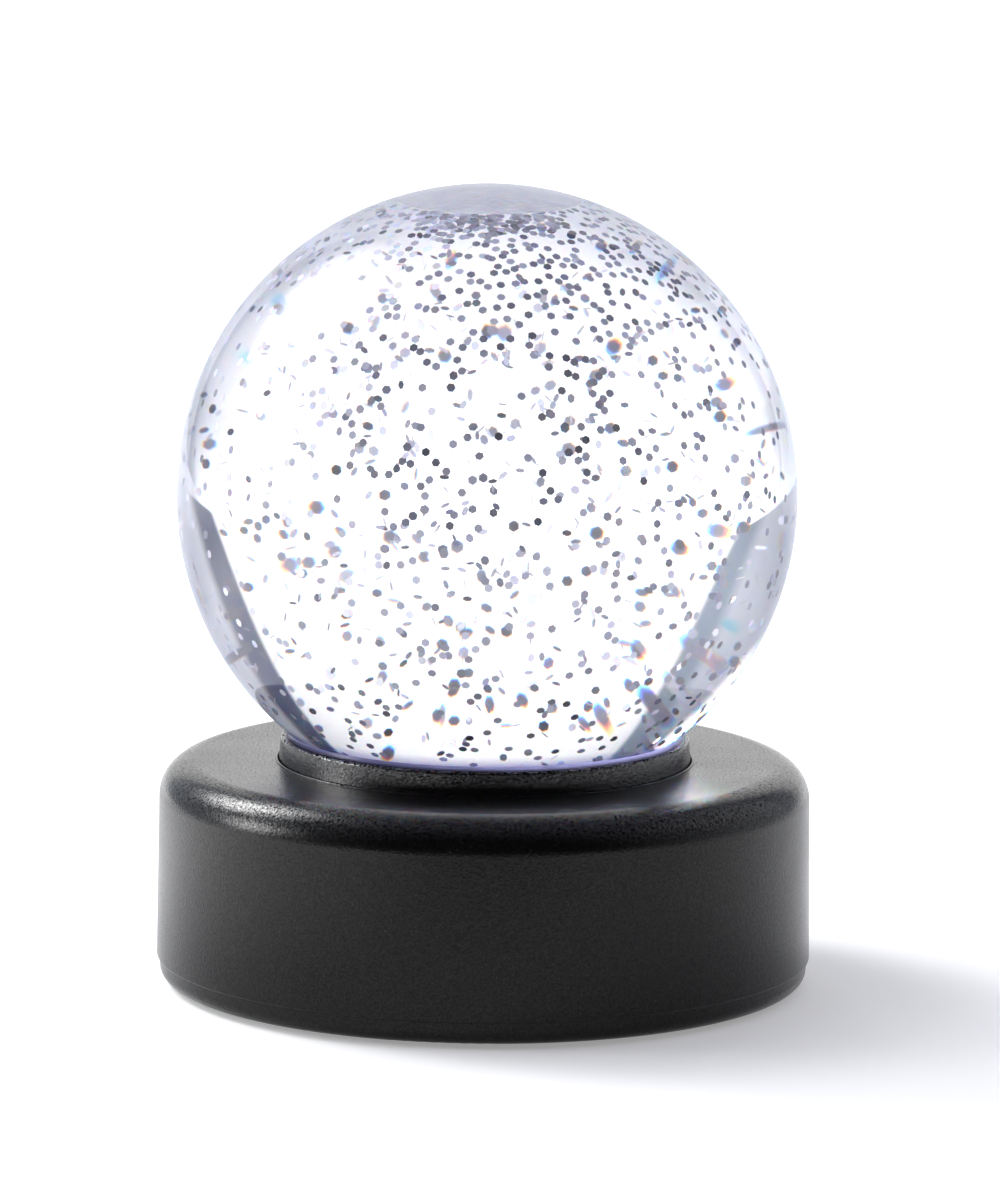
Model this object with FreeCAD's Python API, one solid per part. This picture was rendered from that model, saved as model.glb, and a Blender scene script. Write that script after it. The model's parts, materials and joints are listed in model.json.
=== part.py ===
"""Glitter snow globe: a clear ball full of liquid and glitter, glued into a collar on a hollow plinth.

Millimetres, +Z up. The origin is on the floor, under the centre of the ball.
Each round piece turns about the Z axis, so its section is drawn once, in (radius, height) points.
"""

import FreeCAD, Part
import math
import os
import random

from FreeCAD import Rotation, Vector

# ---- driving dimensions: the ball and its neck ----
GLOBE_RADIUS = 50.0
GLOBE_WALL = 2.5
GLOBE_CENTRE_Z = 79.6
NECK_OUTER_RADIUS = 23.0
NECK_INNER_RADIUS = 20.6
NECK_RIM_Z = 19.6

# ---- the plinth ----
BASE_HEIGHT = 36.4
BASE_RADIUS_LOW = 52.95  # at the seam; the wall leans in with its moulding draft
BASE_RADIUS_HIGH = 52.6  # where the shoulder starts
SHOULDER_RADIUS = 6.0
SHELL_WALL = 2.4
SEAM_Z = 4.3
SEAM_EDGE_RADIUS = 0.3
HOLE_BEAD_RADIUS = 0.22  # fine raised line round the collar's hole
LOCATING_RING_WALL = 1.4
GUSSET_THICKNESS = 1.6
COVER_BOSS_RADIUS = 3.7
COVER_BOSS_END_Z = 9.6
COLLAR_BOSS_RADIUS = 2.9

# ---- the collar that carries the ball ----
COLLAR_HOLE_CLEARANCE = 0.15
COLLAR_RADIUS_LOW = 33.3
COLLAR_RADIUS_HIGH = 33.0
COLLAR_TOP_Z = 40.3
COLLAR_LIP_EDGE_RADIUS = 0.4
COLLAR_BORE_RADIUS = 26.0
COLLAR_FLANGE_RADIUS = 41.2
COLLAR_FLANGE_TOP_Z = 31.2
COLLAR_FLANGE_THICKNESS = 2.4
ADHESIVE_GAP = 0.25
ADHESIVE_START_RADIUS = 26.8
ADHESIVE_BEAD_WIDTH = 0.7

# ---- what closes the neck ----
STOPPER_TOP_Z = 34.8
STOPPER_BODY_RADIUS = 20.0
STOPPER_FLANGE_THICKNESS = 2.0
STOPPER_RECESS_RADIUS = 13.0
STOPPER_RECESS_TOP_Z = 27.0
STOPPER_RIB_HEIGHT = 1.6
STOPPER_RIB_ZS = (22.6, 26.6, 30.6)
STOPPER_TOP_CHAMFER = 1.0
FILL_HOLE_RADIUS = 3.0
FILL_PLUG_HEAD_RADIUS = 4.6
FILL_PLUG_HEAD_HEIGHT = 1.6
SEALANT_RADIUS = 1.4

# ---- the cover under the plinth ----
COVER_BOTTOM_Z = 0.6
COVER_RADIUS = 52.45
COVER_EDGE_RADIUS = 2.2
COVER_PLATE_THICKNESS = 2.4
COVER_LIP_OUTER_RADIUS = 50.1
COVER_LIP_INNER_RADIUS = 48.3
COVER_LIP_TOP_Z = 7.6
COVER_RIB_TOP_Z = 7.0
COVER_POST_RADIUS = 4.6
COVER_POST_WEB = 2.0
PILLAR_OUTER_RADIUS = 18.8
PILLAR_INNER_RADIUS = 16.4
PAD_INNER_RADIUS = 14.8
PAD_THICKNESS = 3.0
FOOT_CIRCLE_RADIUS = 41.0
FOOT_ANGLES = {"front_right": 315, "back_right": 45, "back_left": 135, "front_left": 225}
FOOT_RADIUS = 6.0
FOOT_THICKNESS = 1.4
FOOT_EDGE_RADIUS = 0.25
FOOT_POCKET_CLEARANCE = 0.15

# ---- screws: (shank radius, shank length, head radius, head height) ----
COVER_SCREW = (1.45, 12.0, 2.8, 2.0)
COVER_SCREW_CIRCLE_RADIUS = 45.6
COVER_SCREW_ANGLES = (0, 90, 180, 270)
COLLAR_SCREW = (1.2, 5.6, 2.3, 1.6)
COLLAR_SCREW_CIRCLE_RADIUS = 38.3
COLLAR_SCREW_ANGLES = (45, 135, 225, 315)
PILOT_CLEARANCE = 0.05
SCREW_HOLE_CLEARANCE = 0.3
HEAD_POCKET_CLEARANCE = 0.6

# ---- the filling ----
LIQUID_CLEARANCE = 0.05  # lets the liquid turn inside the ball
BUBBLE_RADIUS = 14.0  # rim of the air bubble under the top of the ball
MENISCUS_WIDTH = 2.0
MENISCUS_RISE = 0.4
FLAKE_ACROSS_FLATS = 1.2
FLAKE_THICKNESS = 0.1
FLAKE_SPACING = 1.5  # between centres, more than a flake's corner-to-corner size
SUSPENDED_FLAKES = 200
FLOATING_FLAKES = 40
FLOATING_DEPTH = 7.0
RANDOM_SEED = 20

# ---- worked out from those ----
GLOBE_INNER_RADIUS = GLOBE_RADIUS - GLOBE_WALL
PLATE_UNDERSIDE_Z = BASE_HEIGHT - SHELL_WALL
SHELL_INNER_RADIUS = BASE_RADIUS_LOW - SHELL_WALL
COLLAR_HOLE_RADIUS = COLLAR_RADIUS_LOW + COLLAR_HOLE_CLEARANCE
COLLAR_FLANGE_BOTTOM_Z = COLLAR_FLANGE_TOP_Z - COLLAR_FLANGE_THICKNESS
SEAT_SPHERE_RADIUS = GLOBE_RADIUS + ADHESIVE_GAP
COVER_PLATE_TOP_Z = COVER_BOTTOM_Z + COVER_PLATE_THICKNESS
COVER_SCREW_SEAT_Z = COVER_BOSS_END_Z - COVER_POST_WEB
STOPPER_FLANGE_BOTTOM_Z = NECK_RIM_Z - STOPPER_FLANGE_THICKNESS
PILLAR_TOP_Z = STOPPER_FLANGE_BOTTOM_Z - PAD_THICKNESS
LIQUID_RADIUS = GLOBE_INNER_RADIUS - LIQUID_CLEARANCE
ORIGIN = Vector(0, 0, 0)
UP = Vector(0, 0, 1)
SAME_POINT = 1e-6


# ---- shared shapes ----
def under_side(sphere_radius, radius):
    """Height of the lower half of a sphere about the ball's centre, at a radius from the Z axis."""
    return GLOBE_CENTRE_Z - math.sqrt(sphere_radius**2 - radius**2)


def upper_side(sphere_radius, radius):
    """Height of the upper half of that sphere."""
    return GLOBE_CENTRE_Z + math.sqrt(sphere_radius**2 - radius**2)


def round_corner(centre_radius, centre_z, corner_radius, start_degrees, end_degrees):
    """Middle and end point of an arc in the section, about a given centre."""
    points = []
    for degrees in ((start_degrees + end_degrees) / 2, end_degrees):
        turn = math.radians(degrees)
        radius = centre_radius + corner_radius * math.cos(turn)
        points.append((radius, centre_z + corner_radius * math.sin(turn)))
    return tuple(points)


def section_point(point):
    return Vector(point[0], 0, point[1])


def turned(*section):
    """Solid turned about Z. A step is a (radius, z) point, or the middle and end point of an arc."""
    first = section_point(section[0])
    here = first
    edges = []
    for step in section[1:]:
        if isinstance(step[0], tuple):
            end = section_point(step[1])
            edges.append(Part.Arc(here, section_point(step[0]), end).toShape())
        else:
            end = section_point(step)
            edges.append(Part.LineSegment(here, end).toShape())
        here = end
    if here.distanceToPoint(first) > SAME_POINT:
        edges.append(Part.LineSegment(here, first).toShape())
    return Part.Face(Part.Wire(edges)).revolve(ORIGIN, UP, 360)


def cylinder(radius, low_z, high_z, x=0.0, y=0.0):
    return Part.makeCylinder(radius, high_z - low_z, Vector(x, y, low_z))


def tube(outer_radius, inner_radius, low_z, high_z):
    return cylinder(outer_radius, low_z, high_z).cut(cylinder(inner_radius, low_z, high_z))


def on_circle(radius, degrees):
    turn = math.radians(degrees)
    return radius * math.cos(turn), radius * math.sin(turn)


def radial_rib(start_radius, end_radius, low_z, high_z, degrees):
    """Upright web between two radii."""
    corner = Vector(start_radius, -GUSSET_THICKNESS / 2, low_z)
    web = Part.makeBox(end_radius - start_radius, GUSSET_THICKNESS, high_z - low_z, corner)
    web.rotate(ORIGIN, UP, degrees)
    return web


def one_solid(shape):
    """The shape with its faces merged, which has to be a single solid."""
    merged = shape.removeSplitter()
    if len(merged.Solids) != 1:
        raise RuntimeError(f"expected one solid, and this has {len(merged.Solids)}")
    return merged.Solids[0]


def upward_screw(size, x, y, seat_z):
    """Self-tapping pan-head screw that points up, with its head under seat_z and a cross recess."""
    shank_radius, shank_length, head_radius, head_height = size
    slot_width = head_radius * 0.28
    slot_depth = head_height * 0.6
    slot_length = head_radius * 1.2
    dome = head_height * 0.6
    point_z = seat_z + shank_length - shank_radius
    head = turned(
        (0, seat_z - head_height),
        (head_radius - dome, seat_z - head_height),
        round_corner(head_radius - dome, seat_z - head_height + dome, dome, -90, 0),
        (head_radius, seat_z),
        (0, seat_z),
    )
    shank = cylinder(shank_radius, seat_z, point_z)
    point = Part.makeCone(shank_radius, shank_radius / 4, shank_radius, Vector(0, 0, point_z))
    screw = head.fuse([shank, point])
    for degrees in (0, 90):
        corner = Vector(-slot_length / 2, -slot_width / 2, seat_z - head_height)
        slot = Part.makeBox(slot_length, slot_width, slot_depth, corner)
        slot.rotate(ORIGIN, UP, degrees)
        screw = screw.cut(slot)
    screw = one_solid(screw)
    screw.translate(Vector(x, y, 0))
    return screw


# ---- the plinth ----
def shell_wall():
    """Side wall, shoulder and top plate, with the collar's hole and the raised line round it."""
    shoulder_z = BASE_HEIGHT - SHOULDER_RADIUS
    shoulder_centre = BASE_RADIUS_HIGH - SHOULDER_RADIUS
    edge_z = SEAM_Z + SEAM_EDGE_RADIUS
    return turned(
        (COLLAR_HOLE_RADIUS, PLATE_UNDERSIDE_Z),
        (COLLAR_HOLE_RADIUS, BASE_HEIGHT),
        round_corner(COLLAR_HOLE_RADIUS + HOLE_BEAD_RADIUS, BASE_HEIGHT, HOLE_BEAD_RADIUS, 180, 0),
        (shoulder_centre, BASE_HEIGHT),
        round_corner(shoulder_centre, shoulder_z, SHOULDER_RADIUS, 90, 0),
        (BASE_RADIUS_LOW, edge_z),
        round_corner(BASE_RADIUS_LOW - SEAM_EDGE_RADIUS, edge_z, SEAM_EDGE_RADIUS, 0, -90),
        (SHELL_INNER_RADIUS, SEAM_Z),
        (BASE_RADIUS_HIGH - SHELL_WALL, shoulder_z),
        round_corner(shoulder_centre, shoulder_z, SHOULDER_RADIUS - SHELL_WALL, 0, 90),
    )


def base_shell():
    """Moulded cup, open below, with a ring that locates the collar and eight screw bosses."""
    into_plate_z = PLATE_UNDERSIDE_Z + 0.5
    into_wall_radius = BASE_RADIUS_HIGH - SHELL_WALL + 0.5
    ring_radius = COLLAR_HOLE_RADIUS + LOCATING_RING_WALL
    added = [tube(ring_radius, COLLAR_HOLE_RADIUS, COLLAR_FLANGE_TOP_Z, into_plate_z)]
    pilots = []
    for degrees in COVER_SCREW_ANGLES:
        x, y = on_circle(COVER_SCREW_CIRCLE_RADIUS, degrees)
        added.append(cylinder(COVER_BOSS_RADIUS, COVER_BOSS_END_Z, into_plate_z, x, y))
        added.append(
            radial_rib(
                COVER_SCREW_CIRCLE_RADIUS, into_wall_radius, COVER_BOSS_END_Z, into_plate_z, degrees
            )
        )
        shank_radius, shank_length = COVER_SCREW[:2]
        pilot_end_z = COVER_SCREW_SEAT_Z + shank_length + 1
        pilots.append(cylinder(shank_radius + PILOT_CLEARANCE, COVER_BOSS_END_Z, pilot_end_z, x, y))
    for degrees in COLLAR_SCREW_ANGLES:
        x, y = on_circle(COLLAR_SCREW_CIRCLE_RADIUS, degrees)
        added.append(cylinder(COLLAR_BOSS_RADIUS, COLLAR_FLANGE_TOP_Z, into_plate_z, x, y))
        shank_radius, shank_length = COLLAR_SCREW[:2]
        pilot_end_z = COLLAR_FLANGE_BOTTOM_Z + shank_length + 0.4
        pilots.append(
            cylinder(shank_radius + PILOT_CLEARANCE, COLLAR_FLANGE_TOP_Z, pilot_end_z, x, y)
        )
    return one_solid(shell_wall().fuse(added).cut(pilots))


def bottom_cover():
    """Plate with a rounded edge, a locating lip, screw posts, foot pockets and a central pillar."""
    edge_z = COVER_BOTTOM_Z + COVER_EDGE_RADIUS
    plate = turned(
        (0, COVER_BOTTOM_Z),
        (COVER_RADIUS - COVER_EDGE_RADIUS, COVER_BOTTOM_Z),
        round_corner(COVER_RADIUS - COVER_EDGE_RADIUS, edge_z, COVER_EDGE_RADIUS, -90, 0),
        (COVER_RADIUS, SEAM_Z),
        (COVER_LIP_OUTER_RADIUS, SEAM_Z),
        (COVER_LIP_OUTER_RADIUS, COVER_LIP_TOP_Z),
        (COVER_LIP_INNER_RADIUS, COVER_LIP_TOP_Z),
        (COVER_LIP_INNER_RADIUS, COVER_PLATE_TOP_Z),
        (0, COVER_PLATE_TOP_Z),
    )
    shank_radius, _, head_radius, _ = COVER_SCREW
    added = [tube(PILLAR_OUTER_RADIUS, PILLAR_INNER_RADIUS, COVER_PLATE_TOP_Z, PILLAR_TOP_Z)]
    removed = []
    for degrees in COVER_SCREW_ANGLES:
        x, y = on_circle(COVER_SCREW_CIRCLE_RADIUS, degrees)
        rib_start = PILLAR_OUTER_RADIUS - 0.5
        rib_end = COVER_SCREW_CIRCLE_RADIUS - COVER_POST_RADIUS / 2
        added.append(cylinder(COVER_POST_RADIUS, COVER_BOTTOM_Z + 1, COVER_BOSS_END_Z, x, y))
        added.append(radial_rib(rib_start, rib_end, COVER_PLATE_TOP_Z, COVER_RIB_TOP_Z, degrees))
        pocket_radius = head_radius + HEAD_POCKET_CLEARANCE
        removed.append(cylinder(pocket_radius, COVER_BOTTOM_Z, COVER_SCREW_SEAT_Z, x, y))
        hole_radius = shank_radius + SCREW_HOLE_CLEARANCE
        removed.append(cylinder(hole_radius, COVER_SCREW_SEAT_Z, COVER_BOSS_END_Z, x, y))
    for degrees in FOOT_ANGLES.values():
        x, y = on_circle(FOOT_CIRCLE_RADIUS, degrees)
        pocket_radius = FOOT_RADIUS + FOOT_POCKET_CLEARANCE
        removed.append(cylinder(pocket_radius, COVER_BOTTOM_Z, FOOT_THICKNESS, x, y))
    return one_solid(plate.fuse(added).cut(removed))


def foot(degrees):
    """Stick-on rubber disc in its pocket."""
    disc = turned(
        (0, 0),
        (FOOT_RADIUS - FOOT_EDGE_RADIUS, 0),
        round_corner(FOOT_RADIUS - FOOT_EDGE_RADIUS, FOOT_EDGE_RADIUS, FOOT_EDGE_RADIUS, -90, 0),
        (FOOT_RADIUS, FOOT_THICKNESS),
        (0, FOOT_THICKNESS),
    )
    x, y = on_circle(FOOT_CIRCLE_RADIUS, degrees)
    disc.translate(Vector(x, y, 0))
    return disc


def screw_set(size, circle_radius, angles, seat_z):
    screws = []
    for degrees in angles:
        x, y = on_circle(circle_radius, degrees)
        screws.append(upward_screw(size, x, y, seat_z))
    return Part.makeCompound(screws)


# ---- the collar ----
def collar():
    """Ring with a round seat for the ball above and a screw flange below the plinth's top."""
    lip_z = COLLAR_TOP_Z - COLLAR_LIP_EDGE_RADIUS
    lip_centre = COLLAR_RADIUS_HIGH - COLLAR_LIP_EDGE_RADIUS
    seat_top_radius = math.sqrt(SEAT_SPHERE_RADIUS**2 - (GLOBE_CENTRE_Z - COLLAR_TOP_Z) ** 2)
    seat_middle_radius = (seat_top_radius + COLLAR_BORE_RADIUS) / 2
    seat = (
        (seat_middle_radius, under_side(SEAT_SPHERE_RADIUS, seat_middle_radius)),
        (COLLAR_BORE_RADIUS, under_side(SEAT_SPHERE_RADIUS, COLLAR_BORE_RADIUS)),
    )
    ring = turned(
        (COLLAR_BORE_RADIUS, COLLAR_FLANGE_BOTTOM_Z),
        (COLLAR_FLANGE_RADIUS, COLLAR_FLANGE_BOTTOM_Z),
        (COLLAR_FLANGE_RADIUS, COLLAR_FLANGE_TOP_Z),
        (COLLAR_RADIUS_LOW, COLLAR_FLANGE_TOP_Z),
        (COLLAR_RADIUS_LOW, BASE_HEIGHT),
        (COLLAR_RADIUS_HIGH, lip_z),
        round_corner(lip_centre, lip_z, COLLAR_LIP_EDGE_RADIUS, 0, 90),
        (seat_top_radius, COLLAR_TOP_Z),
        seat,
    )
    hole_radius = COLLAR_SCREW[0] + SCREW_HOLE_CLEARANCE
    holes = []
    for degrees in COLLAR_SCREW_ANGLES:
        x, y = on_circle(COLLAR_SCREW_CIRCLE_RADIUS, degrees)
        holes.append(cylinder(hole_radius, COLLAR_FLANGE_BOTTOM_Z, COLLAR_FLANGE_TOP_Z, x, y))
    return one_solid(ring.cut(holes))


def globe_adhesive():
    """Clear glue that fills the seat's gap and stands as a small bead on the collar's lip."""
    lip_drop = GLOBE_CENTRE_Z - COLLAR_TOP_Z
    seat_top_radius = math.sqrt(SEAT_SPHERE_RADIUS**2 - lip_drop**2)
    bead_radius = seat_top_radius + ADHESIVE_BEAD_WIDTH
    globe_radius_at_bead = math.sqrt(GLOBE_RADIUS**2 - (lip_drop - ADHESIVE_BEAD_WIDTH) ** 2)
    bead_middle = (
        (bead_radius + globe_radius_at_bead) / 2 - 0.1 * ADHESIVE_BEAD_WIDTH,
        COLLAR_TOP_Z + 0.4 * ADHESIVE_BEAD_WIDTH,
    )
    middle_radius = (ADHESIVE_START_RADIUS + seat_top_radius) / 2
    return turned(
        (ADHESIVE_START_RADIUS, under_side(GLOBE_RADIUS, ADHESIVE_START_RADIUS)),
        (ADHESIVE_START_RADIUS, under_side(SEAT_SPHERE_RADIUS, ADHESIVE_START_RADIUS)),
        (
            (middle_radius, under_side(SEAT_SPHERE_RADIUS, middle_radius)),
            (seat_top_radius, COLLAR_TOP_Z),
        ),
        (bead_radius, COLLAR_TOP_Z),
        (bead_middle, (globe_radius_at_bead, COLLAR_TOP_Z + ADHESIVE_BEAD_WIDTH)),
        (
            (middle_radius, under_side(GLOBE_RADIUS, middle_radius)),
            (ADHESIVE_START_RADIUS, under_side(GLOBE_RADIUS, ADHESIVE_START_RADIUS)),
        ),
    )


# ---- the ball and what closes it ----
def globe():
    """Clear hollow ball with an open neck below."""
    return turned(
        (0, GLOBE_CENTRE_Z + GLOBE_INNER_RADIUS),
        (0, GLOBE_CENTRE_Z + GLOBE_RADIUS),
        (
            (GLOBE_RADIUS, GLOBE_CENTRE_Z),
            (NECK_OUTER_RADIUS, under_side(GLOBE_RADIUS, NECK_OUTER_RADIUS)),
        ),
        (NECK_OUTER_RADIUS, NECK_RIM_Z),
        (NECK_INNER_RADIUS, NECK_RIM_Z),
        (NECK_INNER_RADIUS, under_side(GLOBE_INNER_RADIUS, NECK_INNER_RADIUS)),
        (
            (GLOBE_INNER_RADIUS, GLOBE_CENTRE_Z),
            (0, GLOBE_CENTRE_Z + GLOBE_INNER_RADIUS),
        ),
    )


def neck_stopper():
    """Rubber bung, hollow below, with a flange under the neck's rim and three sealing ribs."""
    body = turned(
        (FILL_HOLE_RADIUS, STOPPER_RECESS_TOP_Z),
        (STOPPER_RECESS_RADIUS, STOPPER_RECESS_TOP_Z),
        (STOPPER_RECESS_RADIUS, STOPPER_FLANGE_BOTTOM_Z),
        (NECK_OUTER_RADIUS, STOPPER_FLANGE_BOTTOM_Z),
        (NECK_OUTER_RADIUS, NECK_RIM_Z),
        (STOPPER_BODY_RADIUS, NECK_RIM_Z),
        (STOPPER_BODY_RADIUS, STOPPER_TOP_Z - STOPPER_TOP_CHAMFER),
        (STOPPER_BODY_RADIUS - STOPPER_TOP_CHAMFER, STOPPER_TOP_Z),
        (FILL_HOLE_RADIUS, STOPPER_TOP_Z),
    )
    ribs = []
    for rib_z in STOPPER_RIB_ZS:
        ribs.append(
            turned(
                (STOPPER_BODY_RADIUS - 1, rib_z - STOPPER_RIB_HEIGHT / 2),
                (STOPPER_BODY_RADIUS, rib_z - STOPPER_RIB_HEIGHT / 2),
                ((NECK_INNER_RADIUS, rib_z), (STOPPER_BODY_RADIUS, rib_z + STOPPER_RIB_HEIGHT / 2)),
                (STOPPER_BODY_RADIUS - 1, rib_z + STOPPER_RIB_HEIGHT / 2),
            )
        )
    return one_solid(body.fuse(ribs))


def fill_plug():
    """Plug pushed into the bung's filling hole from below."""
    head_z = STOPPER_RECESS_TOP_Z - FILL_PLUG_HEAD_HEIGHT
    tip = FILL_HOLE_RADIUS / 4
    return turned(
        (0, head_z),
        (FILL_PLUG_HEAD_RADIUS, head_z),
        (FILL_PLUG_HEAD_RADIUS, STOPPER_RECESS_TOP_Z),
        (FILL_HOLE_RADIUS, STOPPER_RECESS_TOP_Z),
        (FILL_HOLE_RADIUS, STOPPER_TOP_Z - tip),
        (FILL_HOLE_RADIUS - tip, STOPPER_TOP_Z),
        (0, STOPPER_TOP_Z),
    )


def neck_sealant():
    """Bead of silicone round the joint of the neck's rim and the bung's flange."""
    return turned(
        (NECK_OUTER_RADIUS, NECK_RIM_Z - SEALANT_RADIUS),
        (
            (NECK_OUTER_RADIUS + SEALANT_RADIUS, NECK_RIM_Z),
            (NECK_OUTER_RADIUS, NECK_RIM_Z + SEALANT_RADIUS),
        ),
    )


def stopper_pad():
    """Foam ring that the cover's pillar presses against the bung."""
    return tube(PILLAR_OUTER_RADIUS, PAD_INNER_RADIUS, PILLAR_TOP_Z, STOPPER_FLANGE_BOTTOM_Z)


# ---- the filling ----
def liquid_surface_z():
    """Height of the liquid's level surface, under the air bubble."""
    return upper_side(LIQUID_RADIUS, BUBBLE_RADIUS) - MENISCUS_RISE


def liquid():
    """The liquid, down to the bung, with the air bubble left out above."""
    neck_radius = NECK_INNER_RADIUS - LIQUID_CLEARANCE
    floor_z = STOPPER_TOP_Z + LIQUID_CLEARANCE
    level_z = liquid_surface_z()
    rim = (BUBBLE_RADIUS, level_z + MENISCUS_RISE)
    rim_middle = (BUBBLE_RADIUS - 0.4 * MENISCUS_WIDTH, level_z + 0.25 * MENISCUS_RISE)
    return turned(
        (0, floor_z),
        (neck_radius, floor_z),
        (neck_radius, under_side(LIQUID_RADIUS, neck_radius)),
        ((LIQUID_RADIUS, GLOBE_CENTRE_Z), rim),
        (rim_middle, (BUBBLE_RADIUS - MENISCUS_WIDTH, level_z)),
        (0, level_z),
    )


def flake_centres():
    """Random places in the liquid: most anywhere in it, and some just under the bubble."""
    generator = random.Random(RANDOM_SEED)
    reach = LIQUID_RADIUS - FLAKE_ACROSS_FLATS
    highest = liquid_surface_z() - GLOBE_CENTRE_Z - FLAKE_ACROSS_FLATS
    lowest_by_count = {SUSPENDED_FLAKES: -reach, FLOATING_FLAKES: highest - FLOATING_DEPTH}
    centres = []
    for count, lowest in lowest_by_count.items():
        wanted = len(centres) + count
        while len(centres) < wanted:
            x, y = generator.uniform(-reach, reach), generator.uniform(-reach, reach)
            place = Vector(x, y, generator.uniform(lowest, highest))
            is_clear = all(place.distanceToPoint(other) > FLAKE_SPACING for other in centres)
            if place.Length < reach and is_clear:
                centres.append(place)
    return centres, generator


def glitter_flakes():
    """Hexagonal flakes, each turned its own way."""
    corner_radius = FLAKE_ACROSS_FLATS / math.sqrt(3)
    corners = [Vector(*on_circle(corner_radius, degrees), 0) for degrees in range(0, 420, 60)]
    flat_flake = Part.Face(Part.makePolygon(corners)).extrude(UP * FLAKE_THICKNESS)
    centres, generator = flake_centres()
    flakes = []
    for centre in centres:
        flake = flat_flake.copy()
        tilt = Rotation(UP, Vector(*(generator.gauss(0, 1) for _ in range(3))))
        place = centre + Vector(0, 0, GLOBE_CENTRE_Z)
        flake.Placement = FreeCAD.Placement(place, tilt)
        flakes.append(flake)
    return Part.makeCompound(flakes)


# ---- all pieces ----
def build_pieces():
    flakes = glitter_flakes()
    pieces = {
        "globe": globe(),
        "liquid_fill": one_solid(liquid().cut(flakes)),
        "glitter_flakes": flakes,
        "globe_adhesive": globe_adhesive(),
        "neck_stopper": neck_stopper(),
        "fill_plug": fill_plug(),
        "neck_sealant": neck_sealant(),
        "stopper_pad": stopper_pad(),
        "collar": collar(),
        "collar_screws": screw_set(
            COLLAR_SCREW, COLLAR_SCREW_CIRCLE_RADIUS, COLLAR_SCREW_ANGLES, COLLAR_FLANGE_BOTTOM_Z
        ),
        "base_shell": base_shell(),
        "bottom_cover": bottom_cover(),
        "cover_screws": screw_set(
            COVER_SCREW, COVER_SCREW_CIRCLE_RADIUS, COVER_SCREW_ANGLES, COVER_SCREW_SEAT_Z
        ),
    }
    for corner, degrees in FOOT_ANGLES.items():
        pieces[f"foot_{corner}"] = foot(degrees)
    return pieces


os.makedirs("parts", exist_ok=True)
for node, shape in build_pieces().items():
    if not shape.isValid():
        raise RuntimeError(f"{node} is not a valid shape")
    shape.exportStep(f"parts/{node}.step")
    print(node, len(shape.Solids), round(shape.Volume, 1))
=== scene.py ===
"""Looks of the glitter snow globe: clear ball, liquid, glitter, black collar and plinth, soft studio.

Metres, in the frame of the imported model. Sections of round pieces are (radius, height) points.
"""

import json
import math

import bmesh
import bpy
import numpy as np
from mathutils import Matrix, Vector

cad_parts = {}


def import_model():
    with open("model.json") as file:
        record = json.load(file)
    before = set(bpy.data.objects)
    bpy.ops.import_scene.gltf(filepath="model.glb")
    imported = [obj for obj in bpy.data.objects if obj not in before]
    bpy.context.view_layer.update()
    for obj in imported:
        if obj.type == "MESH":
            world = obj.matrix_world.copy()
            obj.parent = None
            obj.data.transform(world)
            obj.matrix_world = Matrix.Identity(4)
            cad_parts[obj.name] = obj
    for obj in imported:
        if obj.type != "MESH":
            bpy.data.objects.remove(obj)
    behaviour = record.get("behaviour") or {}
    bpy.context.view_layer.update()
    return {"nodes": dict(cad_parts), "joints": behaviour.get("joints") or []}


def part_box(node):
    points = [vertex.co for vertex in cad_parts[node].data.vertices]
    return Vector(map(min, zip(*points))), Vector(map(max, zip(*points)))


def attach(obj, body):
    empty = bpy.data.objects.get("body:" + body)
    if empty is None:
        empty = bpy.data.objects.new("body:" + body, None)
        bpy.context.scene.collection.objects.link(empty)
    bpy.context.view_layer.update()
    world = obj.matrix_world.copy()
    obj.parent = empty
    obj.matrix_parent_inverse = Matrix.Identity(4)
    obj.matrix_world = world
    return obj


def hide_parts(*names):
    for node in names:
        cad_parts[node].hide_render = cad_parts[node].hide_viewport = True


MM = 0.001
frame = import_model()


def widest(node):
    """Radius about the Z axis that fits the CAD node's box on all four sides."""
    low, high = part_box(node)
    return min(-low.x, -low.y, high.x, high.y)


# ---- sizes read from the frame ----
GLOBE_CENTRE = Vector(frame["joints"][0]["pos_m"])
GLOBE_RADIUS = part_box("globe")[1].z - GLOBE_CENTRE.z
NECK_RIM_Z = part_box("globe")[0].z
NECK_RADIUS = widest("neck_stopper")
STOPPER_TOP_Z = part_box("neck_stopper")[1].z
LIQUID_TOP_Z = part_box("liquid_fill")[1].z
HOLE_BEAD_TOP_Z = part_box("base_shell")[1].z
BASE_RADIUS = widest("base_shell")
SEAM_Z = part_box("base_shell")[0].z
COLLAR_TOP_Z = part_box("collar")[1].z
COLLAR_FLANGE_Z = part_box("collar")[0].z
COLLAR_FLANGE_RADIUS = widest("collar")

# ---- details that the frame's boxes don't give ----
GLOBE_WALL = 2.5 * MM
NECK_WALL = 2.4 * MM
ADHESIVE_GAP = 0.25 * MM
COLLAR_RADIUS = 33.3 * MM
COLLAR_BORE_RADIUS = 26.0 * MM
BUBBLE_RADIUS = 14.0 * MM
HOLE_BEAD_RADIUS = 0.22 * MM
BASE_TOP_Z = HOLE_BEAD_TOP_Z - HOLE_BEAD_RADIUS
SHOULDER_RADIUS = 6.0 * MM
SHELL_WALL = 2.4 * MM
WALL_LEAN = 0.35 * MM

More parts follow.
